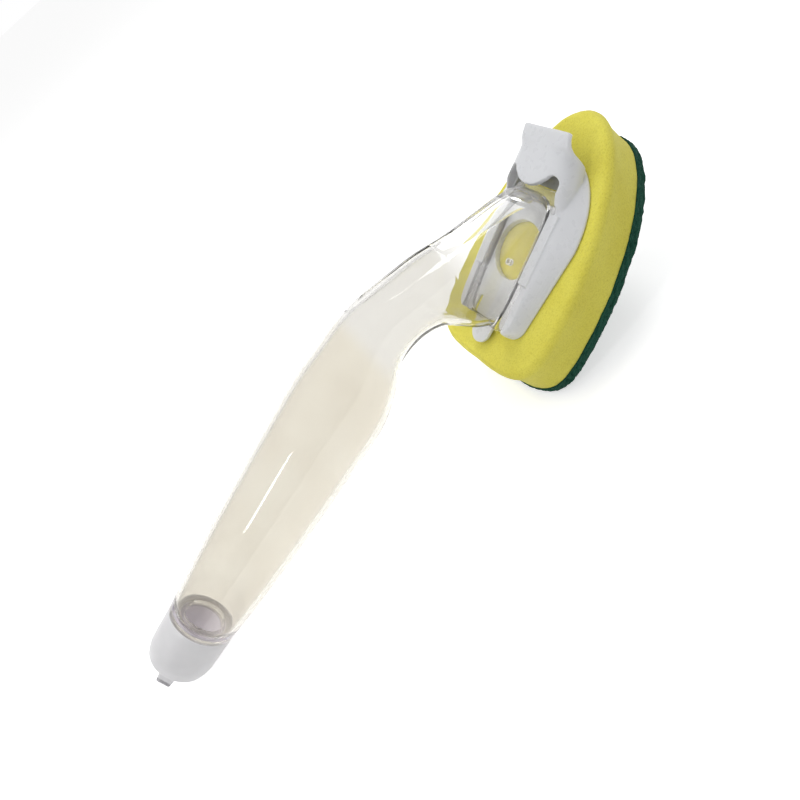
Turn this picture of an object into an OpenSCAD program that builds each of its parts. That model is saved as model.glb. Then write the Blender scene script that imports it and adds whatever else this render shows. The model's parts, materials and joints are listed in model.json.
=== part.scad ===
// Dish wand: a clear soap-filled handle with a screw cap at one end and a
// slide-on sponge head at the other. It rests on the rear edge of its
// scouring pad and on the rim of its cap.
// The head frame has its origin on the head's slide floor, over the soap
// outlet: +X runs to the thumb hood, +Z out of the sponge to the handle.

/* [Handle plate] */
// Length of the plate behind the soap outlet
plate_back = 22.6; // [21:0.1:25]
// Length of the plate ahead of the soap outlet
plate_front = 26; // [24:0.1:28]
// Width of the plate
plate_w = 24.6; // [23:0.1:26]
// Thickness of the plate
plate_t = 2.2; // [1.8:0.1:2.6]
// Corner radius of the plate
plate_corner_r = 4; // [1:0.5:6]
// Diameter of the soap outlet through the plate
outlet_d = 2.4; // [1.5:0.1:4]
// Gap between the plate and each face of its slide
slide_gap = 0.25; // [0.15:0.05:0.35]

/* [Handle] */
// Angle of the grip's axis above the head's plane
grip_tilt = 13; // [10:0.5:16]
// Length of the straight grip
grip_l = 100; // [85:1:115]
// Largest diameter of the grip
grip_d = 33.6; // [30:0.2:36]
// Diameter of the grip at its mouth
mouth_d = 26.4; // [25.6:0.1:28]
// Place of the grip's head end along the head
grip_end_x = -62; // [-66:0.5:-58]
// Height of the grip's head end above the slide floor
grip_end_z = 46; // [43:0.5:49]
// Thickness of the neck at its thinnest
neck_h = 20; // [18:0.5:22]
// Width of the neck
neck_w = 23.6; // [22:0.2:25]
// Height of the neck's blunt toe above the plate
toe_h = 6; // [4:0.5:7]
// How far the toe stops short of the plate's front edge
toe_set = 3; // [2:0.5:5]
// Wall of the handle
wall = 2; // [1.6:0.1:2.4]
// Thickness of the shoulder at the mouth
shoulder_t = 2.5; // [2:0.1:3.5]

/* [Filler neck] */
// Bore of the filler neck
filler_d = 14.8; // [13:0.2:15.2]
// Core diameter of the filler neck, under its thread
filler_core_d = 17.8; // [17.4:0.1:18.2]
// Length of the filler neck
filler_l = 17; // [15:0.5:18]
// Height of the thread on the neck and in the cap
thread_h = 0.7; // [0.5:0.05:0.8]
// Pitch of the thread
thread_pitch = 3; // [2.6:0.1:3.4]
// Turns of the thread on the neck
thread_turns = 3.5; // [2:0.5:4]
// Gap between the neck's thread and the cap's
thread_gap = 0.3; // [0.2:0.05:0.4]

/* [Screw cap] */
// Diameter of the cap at its mouth
cap_d = 26.1; // [25.2:0.1:27.5]
// Diameter of the cap at its closed end
cap_end_d = 23; // [22:0.1:24.5]
// Thickness of the cap's end wall
cap_end_t = 2.6; // [2:0.1:4]
// Radius of the cap's end edge
cap_edge_r = 1.2; // [0.6:0.1:2]
// Length of the grip nub beyond the cap's end
nub_l = 10.4; // [8:0.2:18]
// Width of the nub where it leaves the cap
nub_w = 9; // [6:0.2:12]
// Width of the nub at its tip
nub_tip_w = 6; // [4:0.2:8]
// Thickness of the nub
nub_t = 4.6; // [3:0.2:6]
// Turn of the nub about the cap's axis when screwed home
nub_turn = 127; // [90:1:180]
// Thickness of the cap's seal
seal_t = 1.4; // [1:0.1:2]
// Gap round the seal and between the closed faces
seal_gap = 0.1; // [0.05:0.05:0.2]

/* [Head base] */
// Thickness of the slide floor
floor_t = 2.5; // [2.2:0.1:3]
// Height of the side rails above the floor
rail_h = 3.3; // [2.9:0.1:3.8]
// Thickness of the side rails
rail_wall = 2.7; // [2:0.1:3.2]
// How far the rail lips reach in over the plate
lip_reach = 2; // [1:0.1:2.2]
// Thickness of the rail lips
lip_t = 1.3; // [1:0.1:1.8]
// Place of the lips' rear ends
lip_back = -4.7; // [-8:0.1:0]
// Place of the lips' front ends
lip_front = 18; // [14:0.1:19]
// Greatest width of the base
base_w = 45.2; // [43:0.2:48]
// Place of the base's greatest width
base_wide_x = 11; // [6:0.5:14]
// Width of the base at its rear end
base_rear_w = 37; // [35.5:0.5:39]
// How far the base runs past the plate's rear edge
base_past_plate = 0.5; // [0.2:0.1:1]
// Thickness of the base's outer edge
skirt_t = 1.2; // [0.8:0.1:1.6]
// Diameter of the soap window in the floor
soap_window_d = 20; // [16:0.5:21]
// Centre of the soap window
soap_window_x = 4.5; // [3:0.5:6]
// Radius of the rounded feet at the rear
foot_r = 4; // [2:0.5:5]

/* [Thumb hood] */
// Width of the hood's lip
hood_lip_w = 21.8; // [18:0.5:24]
// Height of the hood's lip above the floor
hood_lip_h = 11.2; // [10.2:0.1:12]
// Height of the hood at its rear lobe
hood_back_h = 9.4; // [9:0.1:10]
// Thickness of the hood
hood_t = 2; // [1.6:0.1:2.2]
// How far the lip stands ahead of the base
hood_lip_out = 3.8; // [1:0.1:5]
// Length of the hood from its lobe to the front of the base
hood_l = 13.4; // [12:0.1:16]
// Half the width of the hood's central lobe
lobe_r = 7.2; // [6:0.1:8]
// Width of the arched notch on each side of the lobe
notch_w = 5; // [3:0.1:5.4]
// Depth of the arched notches
notch_l = 4.8; // [3:0.1:6]

/* [Release tongue] */
// Length of the tongue from its root to the tip of its lobe
tongue_l = 15.4; // [14:0.1:17]
// Width of the tongue
tongue_w = 12.2; // [10:0.1:13]
// Thickness of the tongue
tongue_t = 1.2; // [1:0.05:1.4]
// Width of each slit beside the tongue
slit_w = 1.6; // [1:0.1:2]
// Radius of the tongue's round lobe
tongue_lobe_r = 4.8; // [4:0.1:5.4]
// Height of the catch rib on the tongue
catch_h = 0.15; // [0.1:0.01:0.15]
// Gap at the tongue's root
root_gap = 0.1; // [0.05:0.05:0.2]

/* [Sponge] */
// How far the sponge reaches past the front of the base
front_margin = 14.8; // [8:0.1:18]
// How far the sponge reaches past the rear of the base
rear_margin = 13.8; // [10:0.1:18]
// How far the sponge reaches past each side of the base
side_margin = 7.4; // [5:0.1:12]
// Place of the sponge's greatest width
sponge_wide_x = -9; // [-14:0.5:-4]
// Squareness of the sponge's rear corners
rear_square = 3.8; // [3:0.1:5]
// Thickness of the foam
foam_t = 18; // [14:0.5:22]
// Radius of the foam's upper edge
foam_edge_r = 3; // [1:0.5:5]
// How far the foam's flank is drawn in at mid height
foam_waist = 0.5; // [0:0.1:1]
// How far the sponge narrows from its top to the scouring pad
flank_taper = 0.5; // [0:0.1:2]
// How far the scouring pad sits behind the foam's top
flank_lean = 1.9; // [0:0.1:3]
// Thickness of the scouring pad
pad_t = 4.6; // [3:0.1:8]

/* [Hidden] */

$fn = 64;
eps = 0.01;
far = 200;

// Slide and rails
slide_top = plate_t + 2 * slide_gap;
slide_half = plate_w / 2 + slide_gap;
plate_top = slide_gap + plate_t;
rail_out = slide_half + rail_wall;
lip_in = slide_half - lip_reach;

// Base outline
base_back = plate_back + base_past_plate;
lobe_over_plate = 1.4;
hood_back = plate_front - lobe_over_plate;
base_front = hood_back + hood_l;
base_front_power = 2.1;

// Hood
hood_lip_x = base_front + hood_lip_out;
hood_in = slide_half - 0.8;
hood_step = 1.8;
hood_wall = 2.4;
column_back = lip_front;
notch_y = lobe_r + notch_w / 2;
notch_end = hood_back + notch_l;

// Tongue
lobe_inset = 2.6;
tongue_root = base_back - (tongue_l - tongue_lobe_r * 2) - lobe_inset;
tongue_half = tongue_w / 2;
tongue_tip = tongue_root + tongue_l;
hinge_x = -tongue_root - tongue_t / 2 - root_gap;
hinge_z = -tongue_t / 2;

// Sponge
sponge_front = base_front + front_margin;
sponge_back = base_back + rear_margin;
sponge_half = base_w / 2 + side_margin;
foam_top = -floor_t;
foam_bottom = foam_top - foam_t;
pad_bottom = foam_bottom - pad_t;
outline_steps = 72;
sponge_front_power = 1.92;

// Grip axis: from the mouth to the grip's head end
grip_dir = [cos(grip_tilt), -sin(grip_tilt)];
grip_end = [grip_end_x, grip_end_z];
mouth = grip_end - grip_l * grip_dir;

// Handle sections
mouth_r = mouth_d / 2;
grip_r = grip_d / 2;
flare_half = lip_in - 0.3;
toe_x = plate_front - toe_set;
section_points = 40;
ring_steps = 3;

// Thread ridge
thread_start = 4;
thread_root_w = 1.3;
thread_crest_w = 0.6;
thread_sunk = 0.3;

// Cap along its axis, counted outwards from the handle's shoulder
filler_r = filler_d / 2;
filler_core_r = filler_core_d / 2;
cap_bore_r = filler_core_r + thread_h + thread_gap;
seal_start = filler_l + seal_gap;
cap_floor = seal_start + seal_t + seal_gap;
cap_l = cap_floor + cap_end_t;
seal_r = cap_bore_r - seal_gap;
cap_side = cap_l * 0.8;

// Rest pose: the head frame turned so that the pad's rear edge and the cap's
// rounded rim both touch the ground
pad_edge = [flank_taper - flank_lean - sponge_back, pad_bottom];
rim_centre = mouth - (cap_l - cap_edge_r) * grip_dir
    - (cap_end_d / 2 - cap_edge_r) * [sin(grip_tilt), cos(grip_tilt)];
rim_run = norm(rim_centre - pad_edge);
rest_tilt = atan2(rim_centre[1] - pad_edge[1], pad_edge[0] - rim_centre[0])
    - asin(cap_edge_r / rim_run);

function turned(p) = [
    p[0] * cos(rest_tilt) - p[1] * sin(rest_tilt),
    p[0] * sin(rest_tilt) + p[1] * cos(rest_tilt)];

nub_tip = mouth - (cap_l + nub_l) * grip_dir;
nub_reach = (nub_tip_w / 2 * sin(nub_turn) + nub_t / 2 * abs(cos(nub_turn)))
    * sin(rest_tilt - grip_tilt);
row_back = turned(nub_tip)[0] - nub_reach;
row_front = turned([sponge_front - flank_lean - flank_taper, pad_bottom])[0];
row_shift = [-(row_back + row_front) / 2, 0, -turned(pad_edge)[1]];

module in_row() {
    translate(row_shift) rotate([0, -rest_tilt, 0]) children();
}

// Puts its children, drawn along +Z from the shoulder, on the cap's axis
module on_cap_axis() {
    translate([mouth[0], 0, mouth[1]]) rotate([0, -90 + grip_tilt, 0]) children();
}

// Closed outline with evenly turned points, wide_x being its widest place
function oval(wide_x, half, front, back, front_power, back_power, steps) = [
    for (i = [0 : steps - 1])
        let (
            a = 360 * i / steps,
            ahead = cos(a) >= 0,
            power = ahead ? front_power : back_power,
            reach = ahead ? front - wide_x : wide_x + back)
        [wide_x + sign(cos(a)) * reach * pow(abs(cos(a)), 2 / power),
         sign(sin(a)) * half * pow(abs(sin(a)), 2 / power)]];

function sponge_outline(inset, shift = 0) = oval(sponge_wide_x - shift, sponge_half - inset,
    sponge_front - shift - inset, sponge_back + shift - inset, sponge_front_power, rear_square,
    outline_steps);

// Rings of points joined side by side into one closed solid
function ring_faces(rings, count) = [
    for (r = [0 : rings - 2], i = [0 : count - 1])
        let (a = r * count + i, b = r * count + (i + 1) % count)
        each [[a, b, b + count], [a, b + count, a + count]]];

function end_faces(first, count, flip) = [
    for (i = [1 : count - 2])
        flip ? [first, first + i + 1, first + i] : [first, first + i, first + i + 1]];

// Rings stacked from the bottom up, with flat ends
module stack(rings) {
    count = len(rings[0]);
    levels = len(rings);
    polyhedron(
        points = [for (ring = rings) each ring],
        faces = [for (f = concat(
            ring_faces(levels, count),
            end_faces(0, count, true),
            end_faces((levels - 1) * count, count, false)))
            [f[0], f[2], f[1]]],
        convexity = 6);
}

// Foam block: a tapered, drawn-in flank and a rounded upper edge
function foam_inset(t) = foam_waist * sin(180 * t) + flank_taper * (1 - t);

module foam_sponge() {
    flank = [for (t = [0 : 0.25 : 1])
        [foam_inset(t), foam_bottom + t * (foam_t - foam_edge_r), flank_lean * (1 - t)]];
    edge = [for (a = [15 : 15 : 90])
        [foam_edge_r * (1 - cos(a)), foam_top - foam_edge_r * (1 - sin(a)), 0]];
    color([0.93, 0.87, 0.33])
    in_row()
    stack([for (level = concat(flank, edge))
        [for (p = sponge_outline(level[0], level[2])) [p[0], p[1], level[1]]]]);
}

module scouring_pad() {
    color([0.05, 0.24, 0.16])
    in_row()
    translate([0, 0, pad_bottom])
    linear_extrude(pad_t) polygon(sponge_outline(flank_taper, flank_lean));
}

// Outline of the base at one height: an ellipse ahead of its widest place,
// straight tapering sides behind it and rounded feet at the rear
function base_level(front, half, rear_half, back, z) =
    let (
        foot = min(foot_r, rear_half - 6),
        side = concat(
            [for (a = [0 : 10 : 90])
                [base_wide_x + (front - base_wide_x) * pow(abs(cos(a)), 2 / base_front_power),
                 half * pow(abs(sin(a)), 2 / base_front_power)]],
            [for (a = [90 : 15 : 180])
                [-back + foot + foot * cos(a), rear_half - foot + foot * sin(a)]]))
    [for (p = concat(side, [for (k = [len(side) - 1 : -1 : 1]) [side[k][0], -side[k][1]]]))
        [p[0], p[1], z]];

// Base body: an upright outer edge below, then a slope up to the rails
module base_body() {
    half = base_w / 2;
    rear = base_rear_w / 2;
    stack([
        base_level(base_front, half, rear, base_back, -floor_t),
        base_level(base_front, half, rear, base_back, -floor_t + skirt_t),
        base_level(base_front - 1.5, (half + rail_out) / 2 - 0.3, (rear + rail_out) / 2 - 0.2,
            base_back, rail_h * 0.35),
        base_level(base_front - 2.5, rail_out, rail_out, base_back, rail_h)]);
}

// Outline of the hood at one height, its corners cut by bevels
function hood_level(back, front, back_half, front_half, bevel, z, slope) = [
    for (p = [
        [front, front_half - bevel], [front - bevel * 0.3, front_half - bevel * 0.3],
        [front - bevel, front_half], [back + bevel, back_half],
        [back + bevel * 0.3, back_half - bevel * 0.3], [back, back_half - bevel],
        [back, bevel - back_half], [back + bevel * 0.3, bevel * 0.3 - back_half],
        [back + bevel, -back_half], [front - bevel, -front_half],
        [front - bevel * 0.3, bevel * 0.3 - front_half], [front, bevel - front_half]])
        [p[0], p[1], z + (p[0] - hood_back) * slope]];

// Hood: walls and roof over the plate's front edge, leaning out to the lip
module hood_body() {
    crown = (hood_lip_h - hood_back_h) / (hood_lip_x - hood_back);
    lip_half = hood_lip_w / 2;
    wall_x = base_front - 1.6;
    under = hood_back_h - hood_t;
    stack([
        hood_level(column_back + 0.6, wall_x - 0.2, rail_out, lip_half - 1, 2, 0, 0),
        hood_level(column_back + 0.6, wall_x, rail_out, lip_half - 0.8, 2, rail_h, 0),
        hood_level(column_back + 1.6, wall_x + 0.3, rail_out - 0.8, lip_half - 0.6, 2,
            rail_h + lip_t, 0),
        hood_level(hood_back - 3, wall_x + 0.9, rail_out - 1.6, lip_half - 0.2, 2,
            under - hood_t * 0.6, 0),
        hood_level(hood_back - 2, wall_x + 1.6, rail_out - 2.8, lip_half, 2, under - 0.2, 0),
        hood_level(hood_back - 0.6, hood_lip_x, rail_out - 4.6, lip_half, 1.6,
            hood_back_h - 1, crown),
        hood_level(hood_back, hood_lip_x, rail_out - 6.2, lip_half, 1.6, hood_back_h - 0.4, crown),
        hood_level(hood_back + 0.6, hood_lip_x - 0.7, rail_out - 8, lip_half - 1, 1.2,
            hood_back_h, crown)]);
}

// Room inside the hood for the plate's front edge
module hood_room() {
    roof = hood_back_h - hood_t;
    room_l = base_front - hood_wall - 1;
    translate([0, -hood_in, slide_top]) cube([room_l, hood_in * 2, hood_step]);
    translate([0, -lobe_r - notch_w / 2, slide_top])
        cube([room_l, lobe_r * 2 + notch_w, roof - slide_top]);
    for (side = [-1, 1])
        translate([0, side * notch_y, slide_top]) {
            translate([0, -notch_w / 2, 0]) cube([notch_end - notch_w / 2, notch_w, far]);
            translate([notch_end - notch_w / 2, 0, 0]) cylinder(d = notch_w, h = far);
        }
}

// Rear edge of the lobe, rounded like a thumb nail
module lobe_trim() {
    bow = lobe_r * 1.35;
    difference() {
        translate([hood_back - 8, -lobe_r - 0.4, slide_top])
            cube([10, lobe_r * 2 + 0.8, far]);
        translate([hood_back + bow, 0, slide_top - 1]) cylinder(r = bow, h = far + 2);
    }
}

module head_base() {
    window_back = hood_back - 3;
    color([0.93, 0.94, 0.95])
    in_row()
    difference() {
        union() {
            difference() {
                union() {
                    base_body();
                    hood_body();
                }
                translate([-far, -slide_half, 0])
                    cube([far + plate_front + slide_gap, slide_half * 2, slide_top]);
                translate([-far, -slide_half, 0])
                    cube([far + hood_back - 3, slide_half * 2, far]);
                hood_room();
                lobe_trim();
            }
            for (side = [0, 1])
                mirror([0, side, 0])
                translate([lip_back, lip_in, slide_top])
                cube([lip_front - lip_back, rail_out - lip_in - 0.4, lip_t]);
        }
        translate([soap_window_x, 0, -floor_t - 1])
            cylinder(d = soap_window_d, h = floor_t + 2);
        translate([window_back, -hood_in, -floor_t - 1])
            cube([base_front - hood_wall - 1.6 - window_back, hood_in * 2, floor_t + 2]);
        translate([-tongue_root - far, -tongue_half - slit_w, -floor_t - 1])
            cube([far, tongue_w + slit_w * 2, floor_t + 2]);
    }
}

module release_tongue() {
    lobe_x = -tongue_tip + tongue_lobe_r;
    rib_x = -plate_back - 0.9;
    color([0.91, 0.92, 0.94])
    in_row() {
        translate([0, 0, -tongue_t])
        linear_extrude(tongue_t) {
            translate([lobe_x, 0]) circle(tongue_lobe_r);
            polygon([
                [hinge_x, -tongue_half],
                [hinge_x, tongue_half],
                [-base_back + 1.6, tongue_half],
                [lobe_x, tongue_lobe_r],
                [lobe_x, -tongue_lobe_r],
                [-base_back + 1.6, -tongue_half]]);
        }
        translate([hinge_x, 0, hinge_z]) rotate([90, 0, 0])
            cylinder(d = tongue_t, h = tongue_w, center = true, $fn = 32);
        translate([rib_x - 0.5, -tongue_lobe_r + 1, -eps])
            cube([1, tongue_lobe_r * 2 - 2, catch_h + eps]);
    }
}

// Sections of the handle: [x, z, lean, half height, half width, squareness].
// A section stands square to the handle's line, lean degrees from upright.
grip_rows = [for (t = [0 : 0.2 : 1])
    let (
        place = mouth + t * grip_l * grip_dir,
        r = mouth_r + (grip_r - mouth_r) * sin(90 * pow(t, 0.8)))
    [place[0], place[1], grip_tilt, r * (1 - 0.03 * t), r, 2 + 0.3 * t]];

neck_rows = [
    [-50, 44, 17, 15, 15, 2.2],
    [-41, 43.3, 24, 13, 13, 2.3],
    [-33.5, 41.3, 38, neck_h / 2 + 1.4, neck_w / 2 + 0.2, 2.5],
    [-25, 36.3, 48, neck_h / 2, neck_w / 2, 2.8],
    [-17.5, 29.5, 57, neck_h / 2 + 1.2, neck_w / 2, 3],
    [-12.4, 21.5, 65, 14.4, neck_w / 2 - 0.4, 3.2],
    [-7, 14.1, 73, 18.4, flare_half + 0.7, 3.6]];

// The last sections run from the plate's rear edge to the toe
heel = [-plate_back - 0.6, plate_top + 1.6];
toe = [toe_x, plate_top + toe_h];
foot_rows = [
    [(heel[0] + toe[0]) / 2, (heel[1] + toe[1]) / 2, 90 - atan2(toe[1] - heel[1], toe[0] - heel[0]),
        norm(toe - heel) / 2, flare_half, 4.2],
    [(toe_x - plate_back) / 2, plate_top - plate_t / 2, 90, (toe_x + plate_back) / 2, flare_half, 4.4]];

handle_rows = concat(grip_rows, neck_rows, foot_rows);

// Smooth value between rows b and c, with rows a and d beyond them
function blend(a, b, c, d, t) = 0.5 * (2 * b + (c - a) * t
    + (2 * a - 5 * b + 4 * c - d) * t * t
    + (3 * b - a - 3 * c + d) * t * t * t);

function row_at(rows, i) = rows[max(0, min(len(rows) - 1, i))];

function smooth_rows(rows, steps) = [
    for (i = [0 : len(rows) - 2], k = [0 : steps - 1])
        blend(row_at(rows, i - 1), rows[i], rows[i + 1], row_at(rows, i + 2), k / steps),
    rows[len(rows) - 1]];

// One ring of a section, drawn in by inset
function section(row, inset) = [
    for (i = [0 : section_points - 1])
        let (
            a = 360 * i / section_points,
            up = sign(cos(a)) * pow(abs(cos(a)), 2 / row[5]) * (row[3] - inset),
            out = sign(sin(a)) * pow(abs(sin(a)), 2 / row[5]) * (row[4] - inset))
        [row[0] + up * sin(row[2]), out, row[1] + up * cos(row[2])]];

// A round ring square to the grip's axis, distance in from the shoulder
function grip_ring(distance, r) = section(
    [mouth[0] + distance * grip_dir[0], mouth[1] + distance * grip_dir[1], grip_tilt, r, r, 2], 0);

// Shell of the handle: its outside, over the shoulder into its inside and
// back to the plate
module handle_shell() {
    outside = smooth_rows(handle_rows, ring_steps);
    inside = [for (row = outside)
        if (norm([row[0], row[1]] - mouth) > shoulder_t + wall) row];
    hole_r = (filler_r + filler_core_r) / 2;
    rings = concat(
        [for (i = [len(outside) - 1 : -1 : 0]) section(outside[i], 0)],
        [grip_ring(0, hole_r), grip_ring(shoulder_t, hole_r),
         grip_ring(shoulder_t, mouth_r - wall)],
        [for (row = inside) section(row, wall)]);
    count = section_points;
    levels = len(rings);
    closing = [for (i = [0 : count - 1])
        let (a = (levels - 1) * count + i, b = (levels - 1) * count + (i + 1) % count,
            c = i, d = (i + 1) % count)
        each [[a, b, d], [a, d, c]]];
    polyhedron(
        points = [for (ring = rings) each ring],
        faces = [for (f = concat(ring_faces(levels, count), closing)) [f[0], f[2], f[1]]],
        convexity = 10);
}

// Helical ridge: a tapered section wound along +Z. It stands out from root
// to crest, and inward where crest is the smaller.
module ridge(root, crest, start, turns) {
    per_turn = 20;
    steps = ceil(turns * per_turn);
    points = [for (i = [0 : steps])
        let (a = 360 * i / per_turn, z = start + thread_pitch * i / per_turn)
        each [
            [root * cos(a), root * sin(a), z - thread_root_w / 2],
            [crest * cos(a), crest * sin(a), z - thread_crest_w / 2],
            [crest * cos(a), crest * sin(a), z + thread_crest_w / 2],
            [root * cos(a), root * sin(a), z + thread_root_w / 2]]];
    outward = crest > root;
    sides = ring_faces(steps + 1, 4);
    ends = concat(end_faces(0, 4, true), end_faces(steps * 4, 4, false));
    polyhedron(points = points,
        faces = [for (f = concat(sides, ends)) outward ? f : [f[0], f[2], f[1]]],
        convexity = 8);
}

module filler_neck() {
    difference() {
        union() {
            translate([0, 0, -shoulder_t]) cylinder(r = filler_core_r, h = filler_l + shoulder_t);
            ridge(filler_core_r - thread_sunk, filler_core_r + thread_h, thread_start, thread_turns);
        }
        translate([0, 0, -shoulder_t - 1]) cylinder(r = filler_r, h = filler_l + shoulder_t + 2);
    }
}

module plate() {
    r = plate_corner_r;
    back = -plate_back + r;
    front = plate_front - r;
    side = plate_w / 2 - r;
    translate([0, 0, slide_gap])
    linear_extrude(plate_t) {
        translate([back - r, -side]) square([plate_back + plate_front, side * 2]);
        translate([back, -side - r]) square([front - back, plate_w]);
        for (x = [back, front], y = [-side, side])
            translate([x, y]) circle(r, $fn = 48);
    }
}

module handle() {
    color([0.9, 0.89, 0.84, 0.5])
    in_row()
    difference() {
        union() {
            handle_shell();
            on_cap_axis() filler_neck();
            plate();
        }
        translate([0, 0, -1]) cylinder(d = outlet_d, h = plate_top + 2, $fn = 48);
    }
}

module cap_seal() {
    color([0.75, 0.76, 0.78])
    in_row()
    on_cap_axis()
    translate([0, 0, seal_start]) cylinder(r = seal_r, h = seal_t);
}

module nub() {
    hull() {
        translate([0, 0, cap_l - 0.5]) linear_extrude(0.5)
            square([nub_t, nub_w], center = true);
        translate([0, 0, cap_l + nub_l - 0.5]) linear_extrude(0.5)
            square([nub_t, nub_tip_w], center = true);
    }
}

module screw_cap() {
    end_r = cap_end_d / 2;
    corner = end_r - cap_edge_r;
    color([0.95, 0.95, 0.97])
    in_row()
    on_cap_axis()
    difference() {
        union() {
            rotate_extrude($fn = 96)
            polygon(concat(
                [[0, seal_gap], [cap_d / 2, seal_gap]],
                [[(cap_d + cap_end_d) / 4 + 0.2, cap_side]],
                [for (a = [0 : 15 : 90])
                    [corner + cap_edge_r * cos(a), cap_l - cap_edge_r + cap_edge_r * sin(a)]],
                [[0, cap_l]]));
            rotate([0, 0, nub_turn]) nub();
        }
        difference() {
            cylinder(r = cap_bore_r, h = cap_floor);
            ridge(cap_bore_r + thread_sunk, cap_bore_r - thread_h, thread_start + thread_pitch / 2,
                thread_turns - 0.5);
        }
    }
}

handle();
screw_cap();
cap_seal();
head_base();
release_tongue();
foam_sponge();
scouring_pad();
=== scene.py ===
"""Looks of the dish wand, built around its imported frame.

Shapes are worked out in millimetres in the head frame: its origin is on the head's slide floor over the
soap outlet, +X runs to the thumb hood and +Z out of the sponge. TO_ROW carries them into the row frame.
"""

import json
import math
import random

import bmesh
import bpy
from mathutils import Matrix, Vector, noise

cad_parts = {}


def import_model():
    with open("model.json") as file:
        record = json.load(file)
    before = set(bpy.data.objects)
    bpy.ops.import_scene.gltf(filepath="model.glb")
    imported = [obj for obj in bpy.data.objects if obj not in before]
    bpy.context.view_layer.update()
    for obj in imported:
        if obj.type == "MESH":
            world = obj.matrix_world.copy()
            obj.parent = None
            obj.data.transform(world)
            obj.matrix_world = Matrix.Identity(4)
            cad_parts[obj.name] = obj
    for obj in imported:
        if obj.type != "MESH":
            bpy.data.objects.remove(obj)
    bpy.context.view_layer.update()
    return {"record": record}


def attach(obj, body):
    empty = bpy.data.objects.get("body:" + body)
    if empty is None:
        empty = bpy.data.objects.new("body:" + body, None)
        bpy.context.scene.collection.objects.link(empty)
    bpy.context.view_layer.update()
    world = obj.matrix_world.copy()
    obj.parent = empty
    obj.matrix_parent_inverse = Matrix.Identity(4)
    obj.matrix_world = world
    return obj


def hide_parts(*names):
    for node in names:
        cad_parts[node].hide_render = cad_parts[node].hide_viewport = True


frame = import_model()

# Head frame to row frame, from the head's slide and the scouring face's mount
MM = 0.001
JOINTS = {joint["name"]: joint for joint in frame["record"]["behaviour"]["joints"]}
SLIDE_AXIS = Vector(JOINTS["head_slide"]["axis"])
REST_TILT = math.atan2(SLIDE_AXIS.z, SLIDE_AXIS.x)
FACE_AT = Vector(frame["record"]["mounts"][0]["pos_m"])
FACE_POINT = Vector((5, 0, -25.1))
TO_ROW = (Matrix.Translation(FACE_AT) @ Matrix.Rotation(-REST_TILT, 4, "Y")
          @ Matrix.Scale(MM, 4) @ Matrix.Translation(-FACE_POINT))

# Plate and handle, mm
PLATE_BACK = 22.6
PLATE_FRONT = 26
PLATE_W = 24.6
PLATE_T = 2.2
PLATE_CORNER = 4
OUTLET_R = 0.8
SLIDE_GAP = 0.25
PLATE_TOP = SLIDE_GAP + PLATE_T
GRIP_TILT = math.radians(13)
GRIP_L = 100
GRIP_R = 16.8
MOUTH_R = 13.2
GRIP_END = Vector((-62, 0, 46))
NECK_H = 20
NECK_W = 23.6
TOE_H = 6
TOE_X = PLATE_FRONT - 3
WALL = 2
SHOULDER_T = 2.5
FLARE_HALF = 10.25

# Filler neck and cap, mm
FILLER_R = 7.4
FILLER_CORE_R = 8.9
FILLER_L = 17
THREAD_H = 0.7
THREAD_PITCH = 3
THREAD_START = 4
CAP_BORE_R = 9.9
CAP_R = 13.05
CAP_END_R = 11.5
CAP_L = 21.2
CAP_FLOOR = 18.6
CAP_EDGE_R = 1.8
NUB_L = 10.4
NUB_TURN = math.radians(127)
NUB_ROOT_W = 9
NUB_TIP_W = 6
NUB_T = 4.6
NUB_CORNER = 0.8
SEAL_START = 17.1
SEAL_T = 1.4
SEAL_R = 9.8

# Head, mm
FLOOR_T = 2.5
BASE_FRONT = 38
BASE_BACK = 23.1
BASE_HALF = 22.6
BASE_REAR_HALF = 18.5
BASE_WIDE_X = 11
RAIL_H = 3.3
RAIL_OUT = 15.25
SLIDE_HALF = 12.55
SLIDE_TOP = PLATE_T + 2 * SLIDE_GAP
LIP_IN = 10.55
LIP_T = 1.3
LIP_BACK = -4.7
LIP_FRONT = 18
HOOD_BACK = 24.6
HOOD_IN = 11.75
HOOD_ROOF = 7.4
HOOD_STEP = 1.8
LOBE_R = 7.2
NOTCH_W = 5
NOTCH_END = 29.4
WINDOW_R = 10
WINDOW_X = 4.5
TONGUE_ROOT = 14.7
TONGUE_HALF = 6.1
TONGUE_T = 1.2
TONGUE_LOBE_R = 4.8
TONGUE_TIP = 30.1
SLIT_W = 1.6
REAR_CORNER_R = 6
FOOT_R = 4.6
BASE_VOXEL = 0.25
BASE_SMOOTHING = 10

# Sponge, mm
SPONGE_WIDE_X = -9
SPONGE_HALF = 30
SPONGE_FRONT = 52.8
SPONGE_BACK = 36.9
FRONT_SQUARE = 1.92
REAR_SQUARE = 3.8
FLANK_TAPER = 0.5
FLANK_LEAN = 1.9
FOAM_TOP = -FLOOR_T
FOAM_T = 18
FOAM_EDGE_R = 3
FOAM_WAIST = 0.5
PAD_T = 4.6
PAD_EDGE_R = 0.5
FOAM_BOTTOM = FOAM_TOP - FOAM_T
PAD_BOTTOM = FOAM_BOTTOM - PAD_T

GRIP_DIR = Vector((math.cos(GRIP_TILT), 0, -math.sin(GRIP_TILT)))
MOUTH = GRIP_END - GRIP_L * GRIP_DIR
AXIS_OUT = -GRIP_DIR
AXIS_UP = Vector((math.sin(GRIP_TILT), 0, math.cos(GRIP_TILT)))
AXIS_SIDE = Vector((0, 1, 0))


def power_cos(angle, exponent):
    """Signed power of a cosine, for superellipses."""
    value = math.cos(angle)
    return math.copysign(abs(value) ** exponent, value)


def power_sin(angle, exponent):
    """Signed power of a sine."""
    value = math.sin(angle)
    return math.copysign(abs(value) ** exponent, value)


def link(name, mesh):
    obj = bpy.data.objects.new(name, mesh)
    bpy.context.collection.objects.link(obj)
    return obj


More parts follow.
